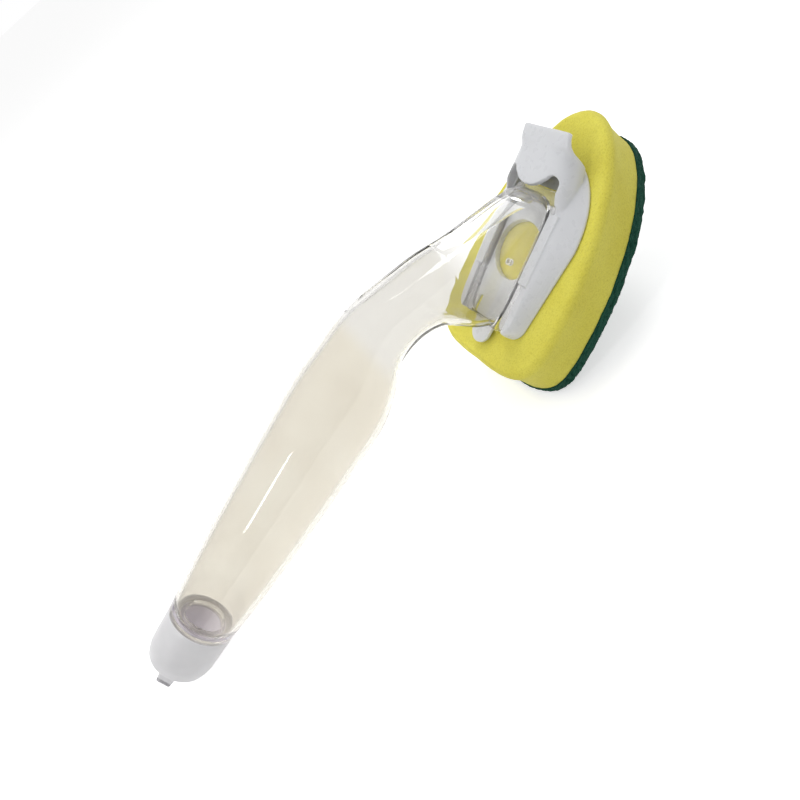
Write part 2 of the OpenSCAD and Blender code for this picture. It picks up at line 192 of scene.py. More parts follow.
def solid(name, points, faces):
    """An object from points in mm, its faces turned outwards."""
    mesh = bpy.data.meshes.new(name)
    mesh.from_pydata([tuple(p) for p in points], [], faces)
    work = bmesh.new()
    work.from_mesh(mesh)
    bmesh.ops.recalc_face_normals(work, faces=work.faces)
    work.to_mesh(mesh)
    work.free()
    return link(name, mesh)


def skin(name, rings, closed=False):
    """Rings of points joined one after another; capped at both ends, or joined last to first."""
    count = len(rings[0])
    levels = len(rings)
    faces = []
    for r in range(levels if closed else levels - 1):
        here = r * count
        there = (r + 1) % levels * count
        for i in range(count):
            j = (i + 1) % count
            faces.append((here + i, here + j, there + j, there + i))
    if not closed:
        faces.append(tuple(range(count)))
        faces.append(tuple((levels - 1) * count + i for i in range(count)))
    return solid(name, [p for ring in rings for p in ring], faces)


def block(name, low, high):
    """A plain cutter or bar between two corners."""
    corners = [(x, y, z) for x in (low[0], high[0]) for y in (low[1], high[1]) for z in (low[2], high[2])]
    faces = [(0, 1, 3, 2), (4, 6, 7, 5), (0, 4, 5, 1), (2, 3, 7, 6), (0, 2, 6, 4), (1, 5, 7, 3)]
    return solid(name, corners, faces)


def drum(name, centre, radius, low, high, sides=96):
    """An upright cylinder, as a cutter."""
    rings = []
    for z in (low, high):
        rings.append([(centre[0] + radius * math.cos(2 * math.pi * k / sides),
                       centre[1] + radius * math.sin(2 * math.pi * k / sides), z)
                      for k in range(sides)])
    return skin(name, rings)


def join(target, others):
    """Adds the other objects' meshes to the target and removes them."""
    work = bmesh.new()
    work.from_mesh(target.data)
    for other in others:
        work.from_mesh(other.data)
    work.to_mesh(target.data)
    work.free()
    for other in others:
        bpy.data.objects.remove(other)
    return target


def settle(obj):
    """Applies an object's modifiers to its mesh."""
    bpy.context.view_layer.update()
    graph = bpy.context.evaluated_depsgraph_get()
    mesh = bpy.data.meshes.new_from_object(obj.evaluated_get(graph))
    obj.modifiers.clear()
    old = obj.data
    obj.data = mesh
    bpy.data.meshes.remove(old)


def boolean(obj, tool, operation):
    """Cuts the tool out of the object, or joins it on, and removes the tool."""
    mod = obj.modifiers.new("boolean", "BOOLEAN")
    mod.operation = operation
    mod.solver = "EXACT"
    mod.object = tool
    settle(obj)
    bpy.data.objects.remove(tool)


def remesh(obj, voxel, smooth_steps):
    """One skin round overlapping solids, with its edges softly rounded."""
    mod = obj.modifiers.new("remesh", "REMESH")
    mod.mode = "VOXEL"
    mod.voxel_size = voxel
    mod.adaptivity = 0
    settle(obj)
    mod = obj.modifiers.new("smooth", "SMOOTH")
    mod.factor = 0.5
    mod.iterations = smooth_steps
    settle(obj)


def bevel(obj, width, segments=3, angle=35):
    mod = obj.modifiers.new("bevel", "BEVEL")
    mod.width = width
    mod.segments = segments
    mod.limit_method = "ANGLE"
    mod.angle_limit = math.radians(angle)
    mod.harden_normals = False
    settle(obj)


def dress(obj, material, body, stands_for, sharp=40):
    """Carries a piece into the row frame, gives it its material and body, and hides the part it stands for.
    """
    obj.data.transform(TO_ROW)
    if sharp:
        obj.data.shade_smooth()
        obj.data.set_sharp_from_angle(angle=math.radians(sharp))
    obj.data.materials.clear()
    obj.data.materials.append(material)
    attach(obj, body)
    if stands_for:
        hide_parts(stands_for)
    return obj


def on_floor(obj):
    """Presses what would reach under the floor up to it."""
    for vertex in obj.data.vertices:
        vertex.co.z = max(vertex.co.z, 0)
    return obj


def blend_row(a, b, c, d, t):
    """Smooth value between rows b and c, with rows a and d beyond them."""
    return [0.5 * (2 * q + (r - p) * t + (2 * p - 5 * q + 4 * r - s) * t * t
                   + (3 * q - p - 3 * r + s) * t * t * t)
            for p, q, r, s in zip(a, b, c, d)]


def smooth_rows(rows, steps):
    """The rows with steps - 1 smooth ones added between each two."""
    last = len(rows) - 1
    out = []
    for i in range(last):
        around = [rows[max(0, min(last, i + k))] for k in (-1, 0, 1, 2)]
        out += [blend_row(*around, k / steps) for k in range(steps)]
    return out + [rows[-1]]


# Handle

RING = 180

# Where the flat on top of the neck runs, by the x of its top line: [from, to, half width at each end]
NECK_FLAT = (-31, -4.2, 5.7, 5.7)
TOE_FLAT = (-4.2, 22, 4.4, 8)
FLAT_RISE = 7
# Part of each half ring, from the top line down, that the flat gets
FLAT_TURN = 2 * math.pi * 12 / RING


def flat_half(x):
    """Half width of the flat along the handle's top line, 0 where it has none."""
    for start, end, first, last in (NECK_FLAT, TOE_FLAT):
        if start <= x < end:
            t = (x - start) / (end - start)
            return (first + (last - first) * t) * min(1, 0.25 + (x - start) / FLAT_RISE)
    return 0


def section(row, inset, flats=False):
    """A ring of the handle. row is x, z, lean from upright, half height, half width, squareness."""
    x, z, lean, half_h, half_w, square = row
    sin_lean = math.sin(math.radians(lean))
    cos_lean = math.cos(math.radians(lean))
    half = flat_half(x + half_h * sin_lean) if flats else 0
    edge = math.asin(min(0.95, half / half_w) ** (square / 2)) if half else FLAT_TURN
    ring = []
    for i in range(RING):
        turn = 2 * math.pi * min(i, RING - i) / RING
        on_top = turn < FLAT_TURN + 0.001
        if on_top:
            angle = turn * edge / FLAT_TURN
        else:
            angle = edge + (turn - FLAT_TURN) * (math.pi - edge) / (math.pi - FLAT_TURN)
        up = power_cos(edge if half and on_top else angle, 2 / square) * (half_h - inset)
        out = power_sin(angle, 2 / square) * (half_w - inset)
        ring.append((x + up * sin_lean, out if i <= RING / 2 else -out, z + up * cos_lean))
    return ring


def handle_rows():
    """Sections of the handle from its shoulder to its toe, as section() takes them."""
    rows = []
    for k in range(6):
        t = k / 5
        place = MOUTH + t * GRIP_L * GRIP_DIR
        r = MOUTH_R + (GRIP_R - MOUTH_R) * math.sin(math.pi / 2 * t ** 0.8)
        rows.append((place.x, place.z, 13, r * (1 - 0.03 * t), r, 2 + 0.3 * t))
    rows += [
        (-50, 44, 17, 15, 15, 2.2),
        (-41, 43.3, 24, 13, 13, 2.3),
        (-33.5, 41.3, 38, NECK_H / 2 + 1.4, NECK_W / 2 + 0.2, 2.5),
        (-25, 36.3, 48, NECK_H / 2, NECK_W / 2, 2.8),
        (-17.5, 29.5, 57, NECK_H / 2 + 1.2, NECK_W / 2, 3),
        (-12.4, 21.5, 65, 14.4, NECK_W / 2 - 0.4, 3.2),
        (-7, 14.1, 73, 18.4, FLARE_HALF + 0.7, 3.6)]
    heel = Vector((-PLATE_BACK - 0.6, 0, PLATE_TOP + 1.6))
    toe = Vector((TOE_X, 0, PLATE_TOP + TOE_H))
    middle = (heel + toe) / 2
    reach = toe - heel
    rows.append((middle.x, middle.z, 90 - math.degrees(math.atan2(reach.z, reach.x)), reach.length / 2,
                 FLARE_HALF, 4.2))
    rows.append(((TOE_X - PLATE_BACK) / 2, PLATE_TOP - PLATE_T / 2, 90, (TOE_X + PLATE_BACK) / 2,
                 FLARE_HALF, 4.4))
    return rows


def axis_ring(out, radius, count=RING):
    """A ring round the cap's axis, out mm beyond the shoulder. radius may be a function of the angle."""
    ring = []
    for i in range(count):
        angle = 2 * math.pi * i / count
        r = radius(angle) if callable(radius) else radius
        ring.append(MOUTH + AXIS_OUT * out + (AXIS_UP * math.cos(angle) + AXIS_SIDE * math.sin(angle)) * r)
    return ring


def ridge_height(out, angle, start, turns):
    """Height of a thread's ridge at one place: a trapezoid that fades at both ends of the helix."""
    along = (out - start) / THREAD_PITCH - angle / (2 * math.pi)
    turn = round(along)
    off = abs(along - turn) * THREAD_PITCH
    run = turn + angle / (2 * math.pi)
    fade = max(0, min(1, (run + 0.1) * 6, (turns + 0.1 - run) * 6))
    return THREAD_H * fade * max(0, min(1, (0.65 - off) / 0.35))


def steps_between(first, last, step):
    count = max(1, round(abs(last - first) / step))
    return [first + (last - first) * k / count for k in range(count + 1)]


def handle_piece(material):
    """The hollow moulding in one skin: outside, threaded filler neck, inside; then plate and outlet."""
    rows = smooth_rows(handle_rows(), 16)
    inner = [row for row in rows if (Vector((row[0], 0, row[1])) - MOUTH).length > SHOULDER_T + WALL]
    rings = [section(row, 0, True) for row in reversed(rows)]
    rings += [axis_ring(0.15, MOUTH_R - 0.25), axis_ring(0.1, MOUTH_R - 0.8),
              axis_ring(0, FILLER_CORE_R + 0.5)]
    for out in steps_between(0.4, FILLER_L - 0.3, 0.16):
        rings.append(axis_ring(out, lambda a: FILLER_CORE_R + ridge_height(out, a, THREAD_START, 3.5)))
    rings += [axis_ring(FILLER_L, FILLER_CORE_R - 0.3), axis_ring(FILLER_L, FILLER_R + 0.3)]
    rings += [axis_ring(out, FILLER_R) for out in steps_between(FILLER_L - 0.3, -SHOULDER_T + 0.4, 2)]
    rings += [axis_ring(-SHOULDER_T, FILLER_R + 0.4), axis_ring(-SHOULDER_T, MOUTH_R - WALL - 0.8),
              axis_ring(-SHOULDER_T - 0.4, MOUTH_R - WALL - 0.2)]
    rings += [section(row, WALL) for row in inner]
    shell = skin("handle_shell", rings, closed=True)
    boolean(shell, plate_solid(), "UNION")
    boolean(shell, drum("outlet", (0, 0), OUTLET_R, -1, PLATE_TOP + 1, 48), "DIFFERENCE")
    return dress(shell, material, "handle_body", "handle", 13)


def plate_solid():
    """The slide plate, its upper edge a little rounded."""
    rings = []
    for inset, z in ((0.25, SLIDE_GAP), (0, SLIDE_GAP + 0.25), (0, PLATE_TOP - 0.3), (0.3, PLATE_TOP)):
        ring = []
        for sx, sy, first in ((1, 1, 0), (-1, 1, 90), (-1, -1, 180), (1, -1, 270)):
            r = PLATE_CORNER - inset
            cx = PLATE_FRONT - PLATE_CORNER if sx > 0 else -PLATE_BACK + PLATE_CORNER
            cy = sy * (PLATE_W / 2 - PLATE_CORNER)
            for a in range(0, 91, 9):
                angle = math.radians(first + a)
                ring.append((cx + r * math.cos(angle), cy + r * math.sin(angle), z))
        rings.append(ring)
    return skin("plate", rings)


# Screw cap and its seal

def cap_piece(material):
    """The cap: a crowned cup with a thread in its bore, and the grip nub."""
    sides = 144
    corner = CAP_END_R - CAP_EDGE_R + 0.15
    outer = [(0.1, CAP_R - 0.3), (0.2, CAP_R - 0.1), (0.45, CAP_R)]
    outer += [(out, CAP_R - 0.45 * (out / 17) ** 1.4) for out in steps_between(2, 16, 2)]
    outer += [(18.4, CAP_R - 0.95)]
    for a in range(0, 91, 10):
        angle = math.radians(a)
        outer.append((CAP_L + CAP_EDGE_R * (math.sin(angle) - 1), corner + CAP_EDGE_R * math.cos(angle)))
    outer += [(CAP_L, 8), (CAP_L, 4), (CAP_L, 0.4)]
    inner = [(CAP_FLOOR, 0.4), (CAP_FLOOR, 5), (CAP_FLOOR, CAP_BORE_R - 0.3)]
    rings = [axis_ring(out, r, sides) for out, r in reversed(outer)]
    rings += [axis_ring(0.1, CAP_BORE_R + 0.4, sides), axis_ring(0.3, CAP_BORE_R + 0.1, sides)]
    for out in steps_between(0.6, CAP_FLOOR - 0.3, 0.2):
        rings.append(axis_ring(
            out, lambda a: CAP_BORE_R - ridge_height(out, a, THREAD_START + THREAD_PITCH / 2, 3), sides))
    rings += [axis_ring(out, r, sides) for out, r in reversed(inner)]
    cap = skin("screw_cap_shell", rings)
    boolean(cap, nub_solid(), "UNION")
    return dress(cap, material, "cap_body", "screw_cap", 38)


def nub_solid():
    """The grip nub: a tapered bar with rounded edges and a flared root."""
    wide = AXIS_UP * -math.sin(NUB_TURN) + AXIS_SIDE * math.cos(NUB_TURN)
    thin = AXIS_UP * math.cos(NUB_TURN) + AXIS_SIDE * math.sin(NUB_TURN)
    levels = [(-1, 1.5), (-0.02, 1.3), (0.35, 0.75), (0.9, 0.3), (1.8, 0)]
    levels += [(h, 0) for h in (5, 8, 11, NUB_L - 0.8)]
    levels += [(NUB_L - 0.35, -0.12), (NUB_L - 0.08, -0.42), (NUB_L, -0.8)]
    rings = []
    for height, grow in levels:
        t = max(0, height) / NUB_L
        half_w = (NUB_ROOT_W + (NUB_TIP_W - NUB_ROOT_W) * t) / 2 + grow
        half_t = NUB_T / 2 + grow
        corner = NUB_CORNER + max(0, grow)
        ring = []
        for sx, sy, first in ((1, 1, 0), (-1, 1, 90), (-1, -1, 180), (1, -1, 270)):
            for a in range(0, 91, 15):
                angle = math.radians(first + a)
                u = sx * (half_w - corner) + corner * math.cos(angle)
                v = sy * (half_t - corner) + corner * math.sin(angle)
                ring.append(MOUTH + AXIS_OUT * (CAP_L + height) + wide * u + thin * v)
        rings.append(ring)
    return skin("nub", rings)


def seal_piece(material):
    edge = 0.25
    profile = [(0, 0.3), (0, 5), (0, SEAL_R - edge), (edge, SEAL_R), (SEAL_T - edge, SEAL_R),
               (SEAL_T, SEAL_R - edge), (SEAL_T, 5), (SEAL_T, 0.3)]
    seal = skin("cap_seal_disc", [axis_ring(SEAL_START + out, r, 96) for out, r in profile])
    return dress(seal, material, "seal_body", "cap_seal", 30)


# Head base

def base_level(front, half, rear_half, z):
    """Outline of the base at one height: a rounded nose, tapering sides and rounded feet."""
    side = []
    for a in range(0, 91, 3):
        angle = math.radians(a)
        side.append((BASE_WIDE_X + (front - BASE_WIDE_X) * power_cos(angle, 2 / 2.1),
                     half * power_sin(angle, 2 / 2.1)))
    for a in range(90, 181, 10):
        angle = math.radians(a)
        side.append((-BASE_BACK + REAR_CORNER_R + REAR_CORNER_R * math.cos(angle),
                     rear_half - REAR_CORNER_R + REAR_CORNER_R * math.sin(angle)))
    return [(x, y, z) for x, y in side] + [(x, -y, z) for x, y in reversed(side[1:])]


def base_shell():
    """The base's floor and its flanks, which rise to the rails."""
    rings = [base_level(BASE_FRONT - 0.3, BASE_HALF - 0.3, BASE_REAR_HALF - 0.3, -FLOOR_T),
             base_level(BASE_FRONT, BASE_HALF, BASE_REAR_HALF, -FLOOR_T + 0.3),
             base_level(BASE_FRONT, BASE_HALF, BASE_REAR_HALF, -FLOOR_T + 1)]
    foot = -FLOOR_T + 1.2
    for k in range(9):
        t = k / 8
        half = BASE_HALF - 0.25 + (RAIL_OUT - BASE_HALF + 0.25) * t
        rear = BASE_REAR_HALF - 0.25 + (RAIL_OUT - BASE_REAR_HALF + 0.25) * t
        rise = 1 - (1 - t) ** 1.25
        rings.append(base_level(BASE_FRONT - 0.25 - 2.4 * t, half, rear, foot + (RAIL_H - foot) * rise))
    return skin("head_base_shell", rings)


# Sections of the hood: x, half width, squareness, top, underside
HOOD_SECTIONS = [
    (18.2, 15.2, 4, 3.4, 0), (19.2, 15.2, 4, 4.2, 0), (20.6, 15.2, 3.4, 5.4, 0), (22.4, 15.2, 3, 7.4, 0),
    (24.6, 15.1, 2.8, 9.4, 0), (27, 14.9, 2.8, 9.7, 0), (30, 14.4, 2.9, 9.8, 0), (33, 13.6, 3.2, 9.95, 0),
    (35.2, 12.8, 3.6, 10.15, 0), (36.4, 12.2, 4, 10.3, 2.6), (37.3, 11.8, 4.5, 10.45, 5.8),
    (38.4, 11.4, 5, 10.6, 7.7), (40, 11, 6, 10.85, 8.7), (41.7, 10.8, 7, 11.15, 9.25)]


def hood_solid():
    """The thumb hood, full; base_cutters() hollows it."""
    rings = []
    for x, half, square, top, under in smooth_rows(HOOD_SECTIONS, 5):
        rings.append([(x, half * power_cos(math.radians(a), 2 / square),
                       under + (top - under) * power_sin(math.radians(a), 2 / square))
                      for a in range(0, 181, 4)])
    return skin("hood", rings)


def base_cutters():
    """What is cut out of the base: slide, hood room, windows, the tongue's room, notches and foot corners."""
    far = 60
    slide_end = PLATE_FRONT + SLIDE_GAP
    tools = [
        block("slide", (-far, -SLIDE_HALF, 0), (slide_end, SLIDE_HALF, SLIDE_TOP)),
        block("above", (-far, -SLIDE_HALF, 1), (HOOD_BACK - 3, SLIDE_HALF, far)),
        block("room", (0, -HOOD_IN, 1), (34, HOOD_IN, SLIDE_TOP + HOOD_STEP)),
        block("roof_room", (0, -LOBE_R - NOTCH_W / 2, 1), (34, LOBE_R + NOTCH_W / 2, HOOD_ROOF)),
        drum("window", (WINDOW_X, 0), WINDOW_R, -far, 1, 128),
        block("hood_window", (HOOD_BACK - 3, -HOOD_IN, -far), (33.5, HOOD_IN, 1)),
        block("tongue_room", (-far, -TONGUE_HALF - SLIT_W, -far), (-TONGUE_ROOT, TONGUE_HALF + SLIT_W, 1))]
    for side in (-1, 1):
        y = side * (LOBE_R + NOTCH_W / 2)
        round_x = NOTCH_END - NOTCH_W / 2
        tools.append(block("notch", (10, y - NOTCH_W / 2, 3), (round_x, y + NOTCH_W / 2, far)))
        tools.append(drum("notch_end", (round_x, y), NOTCH_W / 2, 3, far, 48))
        tools.append(foot_cutter(side))
    return tools


def foot_cutter(side):
    """Rounds a rear foot's corner beside the tongue."""
    inner = TONGUE_HALF + SLIT_W
    y = sorted((side * (inner - 1), side * (inner + FOOT_R)))
    cutter = block("foot", (-BASE_BACK - 2, y[0], -5), (-BASE_BACK + FOOT_R, y[1], 6))
    boolean(cutter, drum("round", (-BASE_BACK + FOOT_R, side * (inner + FOOT_R)), FOOT_R, -6, 7, 96),
            "DIFFERENCE")
    return cutter


def lobe_cutter():
    """Trims the hood's rear edge to a round lobe."""
    bow = LOBE_R * 1.3
    cutter = block("lobe", (14, -LOBE_R - 0.4, 3), (HOOD_BACK + 3, LOBE_R + 0.4, 40))
    boolean(cutter, drum("bow", (HOOD_BACK + bow, 0), bow, 2, 41, 128), "DIFFERENCE")
    return cutter


def base_piece(material):
    """The head's base: shell and hood with the slide cut through them, and a lip on each rail."""
    base = base_shell()
    boolean(base, hood_solid(), "UNION")
    for tool in base_cutters():
        boolean(base, tool, "DIFFERENCE")
    boolean(base, lobe_cutter(), "DIFFERENCE")
    lips = [block("lip", (LIP_BACK, side * RAIL_OUT - side * 0.4, SLIDE_TOP - 0.02),
                  (LIP_FRONT + 1.2, side * LIP_IN, SLIDE_TOP + LIP_T)) for side in (-1, 1)]
    for lip in lips:
        boolean(base, lip, "UNION")
    remesh(base, BASE_VOXEL, BASE_SMOOTHING)
    return dress(base, material, "head_body", "head_base", 0)


def tongue_piece(material):
    """The tongue: a flat finger with a round lobe, its edges rounded."""
    lobe_x = -TONGUE_TIP + TONGUE_LOBE_R
    outline = [(-TONGUE_ROOT + 0.7, TONGUE_HALF - 0.1), (-20, TONGUE_HALF), (-21.5, TONGUE_HALF - 0.2)]
    outline += [(-22.6, TONGUE_HALF - 0.6), (-23.4, TONGUE_LOBE_R + 0.15)]
    for a in range(90, 181, 6):
        angle = math.radians(a)
        outline.append((lobe_x + TONGUE_LOBE_R * math.cos(angle), TONGUE_LOBE_R * math.sin(angle)))
    outline += [(x, -y) for x, y in reversed(outline[:-1])]
    tongue = skin("release_tongue_finger", [[(x, y, z) for x, y in outline] for z in (-TONGUE_T, 0)])
    rib = block("rib", (-24, -TONGUE_LOBE_R + 1, -0.4), (-23, TONGUE_LOBE_R - 1, 0.15))
    boolean(tongue, rib, "UNION")
    bevel(tongue, 0.22, 3)
    return dress(tongue, material, "tongue_body", "release_tongue", 40)


# Sponge

def sponge_outline(inset, scale=1, shift=0, steps=220):
    points = []
    for i in range(steps):
        angle = 2 * math.pi * i / steps
        ahead = math.cos(angle) >= 0
        square = FRONT_SQUARE if ahead else REAR_SQUARE
        reach = SPONGE_FRONT - SPONGE_WIDE_X if ahead else SPONGE_WIDE_X + SPONGE_BACK
        points.append((SPONGE_WIDE_X - shift + (reach - inset) * power_cos(angle, 2 / square) * scale,
                       (SPONGE_HALF - inset) * power_sin(angle, 2 / square) * scale))
    return points


def roughen(obj, amount, size, seed):
    """Moves each point a little along its normal, by smooth noise of the given size in mm."""
    mesh = obj.data
    normals = [v.normal.copy() for v in mesh.vertices]
    for vertex, normal in zip(mesh.vertices, normals):
        at = vertex.co / size + Vector((seed, seed * 0.7, 0))
        vertex.co += normal * amount * noise.noise(at)
    mesh.update()


def foam_piece(material):
    """The foam block: rounded upper edge, flank a little drawn in, soft uneven skin."""
    levels = [(FLANK_TAPER, FOAM_BOTTOM, s / 10, FLANK_LEAN) for s in range(1, 10)]
    flank = FOAM_T - FOAM_EDGE_R
    levels += [(FOAM_WAIST * math.sin(math.pi * k / 14) + FLANK_TAPER * (1 - k / 14),
                FOAM_BOTTOM + flank * k / 14, 1, FLANK_LEAN * (1 - k / 14)) for k in range(15)]
    levels += [(FOAM_EDGE_R * (1 - math.cos(math.radians(a))),
                FOAM_TOP - FOAM_EDGE_R * (1 - math.sin(math.radians(a))), 1, 0) for a in range(10, 91, 10)]
    levels += [(FOAM_EDGE_R, FOAM_TOP, s / 24, 0) for s in range(23, 0, -1)]
    foam = skin("foam_block", [[(x, y, z) for x, y in sponge_outline(inset, scale, shift)]
                               for inset, z, scale, shift in levels])
    roughen(foam, 0.2, 7, 3)
    roughen(foam, 0.06, 1.3, 8)
    for vertex in foam.data.vertices:
        vertex.co.z = min(vertex.co.z, FOAM_TOP - 0.02)
    swells = []
    for side in (-1, 1):
        y = sorted((side * (TONGUE_HALF + 0.1), side * (TONGUE_HALF + SLIT_W - 0.1)))
        swell = block("swell", (-BASE_BACK - 0.3, y[0], FOAM_TOP - 0.8), (-TONGUE_ROOT - 0.1, y[1], -0.4))
        bevel(swell, 0.35, 3)
        swells.append(swell)
    join(foam, swells)
    return dress(foam, material, "head_body", "foam_sponge", 60)


def pad_piece(material):
    """The scouring layer: a slab of matted fibre with an uneven skin."""
    levels = [(PAD_EDGE_R, PAD_BOTTOM, s / 24) for s in range(1, 25)]
    levels += [(PAD_EDGE_R * 0.3, PAD_BOTTOM + PAD_EDGE_R * 0.3, 1)]
    levels += [(0, z, 1) for z in steps_between(PAD_BOTTOM + PAD_EDGE_R, FOAM_BOTTOM - 0.2, 0.7)]
    levels += [(0.1, FOAM_BOTTOM - 0.02, 1)]
    levels += [(0.1, FOAM_BOTTOM - 0.02, s / 10) for s in range(9, 0, -1)]
    pad = skin("scouring_layer", [[(x, y, z) for x, y in sponge_outline(inset, scale, FLANK_LEAN)]
                                  for inset, z, scale in levels])
    roughen(pad, 0.4, 1.1, 5)
    roughen(pad, 0.25, 0.6, 9)
    for vertex in pad.data.vertices:
        vertex.co.z = max(vertex.co.z, PAD_BOTTOM)
    return on_floor(dress(pad, material, "head_body", "scouring_pad", 0))


EDGE_FIBRES = 1500
FACE_FIBRES = 1700
# Part of the way from the pad's middle to its edge that the face's fibres reach
FACE_REACH = 0.84


def fibre_piece(material):
    """Loose fibres of the scouring layer, on its edge and its face, in one mesh."""
    rng = random.Random(11)
    points = []
    faces = []
    outline = sponge_outline(0.1, 1, FLANK_LEAN, 720)

    def strand(path, radius):
        first = len(points)
        for k, at in enumerate(path):
            ahead = path[min(k + 1, len(path) - 1)] - path[max(k - 1, 0)]
            side = ahead.cross(Vector((0.3, 0.5, 1))).normalized()
            other = ahead.cross(side).normalized()
            for turn in range(3):
                angle = 2 * math.pi * turn / 3
                points.append(at + (side * math.cos(angle) + other * math.sin(angle)) * radius)
        for k in range(len(path) - 1):
            for turn in range(3):
                a = first + 3 * k + turn
                b = first + 3 * k + (turn + 1) % 3
                faces.append((a, b, b + 3, a + 3))
        faces.append((first, first + 1, first + 2))
        last = first + 3 * (len(path) - 1)
        faces.append((last + 2, last + 1, last))

    for _ in range(EDGE_FIBRES):
        i = rng.randrange(len(outline))
        here = Vector((*outline[i], 0))
        ahead = (Vector((*outline[(i + 1) % len(outline)], 0)) - here).normalized()
        out = Vector((ahead.y, -ahead.x, 0))
        z = rng.uniform(PAD_BOTTOM + 0.3, FOAM_BOTTOM - 0.1)
        slope = rng.uniform(-0.7, 0.7)
        length = rng.uniform(1.2, 3)
        bow = rng.uniform(0.08, 0.3)
        path = []
        for k in range(6):
            t = k / 5 - 0.5
            at = here + ahead * length * t + out * (bow * math.cos(math.pi * t) - 0.12)
            rise = max(PAD_BOTTOM + 0.1, min(FOAM_BOTTOM + 0.25, z + slope * length * t))
            path.append(at + Vector((0, 0, rise)))
        strand(path, rng.uniform(0.04, 0.08))
    for _ in range(FACE_FIBRES):
        scale = math.sqrt(rng.random()) * FACE_REACH
        x, y = outline[rng.randrange(len(outline))]
        middle = SPONGE_WIDE_X - FLANK_LEAN
        centre = Vector((middle + (x - middle) * scale, y * scale, PAD_BOTTOM + 0.1))
        heading = rng.uniform(0, 2 * math.pi)
        length = rng.uniform(3, 6.5)
        bend = rng.uniform(-1.2, 1.2)
        path = []
        for k in range(6):
            t = k / 5 - 0.5
            angle = heading + bend * t
            step = Vector((math.cos(angle), math.sin(angle), 0)) * length * t
            path.append(centre + step + Vector((0, 0, 0.12 * (1 - math.cos(2 * math.pi * t)))))
        strand(path, rng.uniform(0.05, 0.09))
    fibres = solid("scouring_fibres", points, faces)
    return on_floor(dress(fibres, material, "head_body", None, 60))


# Materials

class Nodes:
    """A short way to build a Principled material with noise in its colour and bump."""

    def __init__(self, name, colour, roughness):
        self.material = bpy.data.materials.new(name)
        self.material.use_nodes = True
        self.tree = self.material.node_tree
        self.shader = self.tree.nodes["Principled BSDF"]
        self.output = self.tree.nodes["Material Output"]
        self.shader.inputs["Base Color"].default_value = (*colour, 1)
        self.shader.inputs["Roughness"].default_value = roughness
        self.place = self.tree.nodes.new("ShaderNodeTexCoord").outputs["Object"]
        self.normal = None

    def add(self, kind, **settings):
        node = self.tree.nodes.new(kind)
        for key, value in settings.items():
            setattr(node, key, value)
        return node

    def wire(self, start, end):
        self.tree.links.new(start, end)

    def noise(self, size_mm, detail=2, roughness=0.5, stretch=None):
        """Noise whose patches are about size_mm across."""
        node = self.add("ShaderNodeTexNoise")
        node.inputs["Scale"].default_value = 1000 / size_mm
        node.inputs["Detail"].default_value = detail
        node.inputs["Roughness"].default_value = roughness
        source = self.place
        if stretch:
            mapping = self.add("ShaderNodeMapping")
            mapping.inputs["Scale"].default_value = stretch
            self.wire(source, mapping.inputs["Vector"])
            source = mapping.outputs["Vector"]
        self.wire(source, node.inputs["Vector"])
        return node.outputs["Fac"]

    def cells(self, size_mm):
        node = self.add("ShaderNodeTexVoronoi")
        node.inputs["Scale"].default_value = 1000 / size_mm
        self.wire(self.place, node.inputs["Vector"])
        return node.outputs["Distance"]

    def ramp(self, value, stops):
        node = self.add("ShaderNodeValToRGB")
        ramp = node.color_ramp
        while len(ramp.elements) < len(stops):
            ramp.elements.new(0.5)
        for element, (at, colour) in zip(ramp.elements, stops):
            element.position = at
            element.color = (*colour, 1)
        self.wire(value, node.inputs["Fac"])
        return node.outputs["Color"]

    def mix(self, factor, first, second, blend="MIX"):
        node = self.add("ShaderNodeMix", data_type="RGBA", blend_type=blend)
        sockets = [s for s in node.inputs if s.type == "RGBA"]
        for socket, value in ((node.inputs["Factor"], factor), (sockets[0], first), (sockets[1], second)):
            if hasattr(value, "is_output"):
                self.wire(value, socket)
            else:
                socket.default_value = value
        return [s for s in node.outputs if s.type == "RGBA"][0]

    def bump(self, height, distance_mm, strength=1):
        node = self.add("ShaderNodeBump")
        node.inputs["Strength"].default_value = strength
        node.inputs["Distance"].default_value = distance_mm * MM
        self.wire(height, node.inputs["Height"])
        if self.normal:
            self.wire(self.normal, node.inputs["Normal"])
        self.normal = node.outputs["Normal"]
        self.wire(self.normal, self.shader.inputs["Normal"])

    def let_lamps_pass(self, colour):
        """Lets rays from lamps pass each surface, tinted by the colour."""
        through = self.add("ShaderNodeBsdfTransparent")
        through.inputs["Color"].default_value = (*colour, 1)
        rays = self.add("ShaderNodeLightPath")
        pick = self.add("ShaderNodeMixShader")
        self.wire(rays.outputs["Is Shadow Ray"], pick.inputs[0])
        self.wire(self.shader.outputs["BSDF"], pick.inputs[1])
        self.wire(through.outputs["BSDF"], pick.inputs[2])
        self.wire(pick.outputs["Shader"], self.output.inputs["Surface"])

    def set(self, **values):
        """Sets the shader's own sockets, named with _ for each space."""
        for key, value in values.items():
            self.shader.inputs[key.replace("_", " ")].default_value = value


# Cloudy places of the clear moulding: the filler neck behind the shoulder, the foot's rim, its toe and the
# outlet, m in the row frame. The clouds' weights and the two ends of clarity are shares of 1.
HEAD_AHEAD = TO_ROW.to_3x3() @ Vector((1, 0, 0)) / MM
HEAD_UP = TO_ROW.to_3x3() @ Vector((0, 0, 1)) / MM
RIM_TOP = HEAD_UP.dot(TO_ROW @ Vector((0, 0, 5)))
RIM_SIDE = 0.0094
TOE_START = HEAD_AHEAD.dot(TO_ROW @ Vector((18.5, 0, 0)))
TOE_END = TOE_START + 0.003
RIM_CLOUD = 0.4
TOE_CLOUD = 0.15
FILLER_AXIS = TO_ROW.to_3x3() @ GRIP_DIR / MM
FILLER_START = FILLER_AXIS.dot(TO_ROW @ MOUTH) + 0.0003
OUTLET_AT = TO_ROW @ Vector((0, 0, PLATE_TOP - PLATE_T / 2))
CLEAR = 0.985
CLOUDY = 0.2
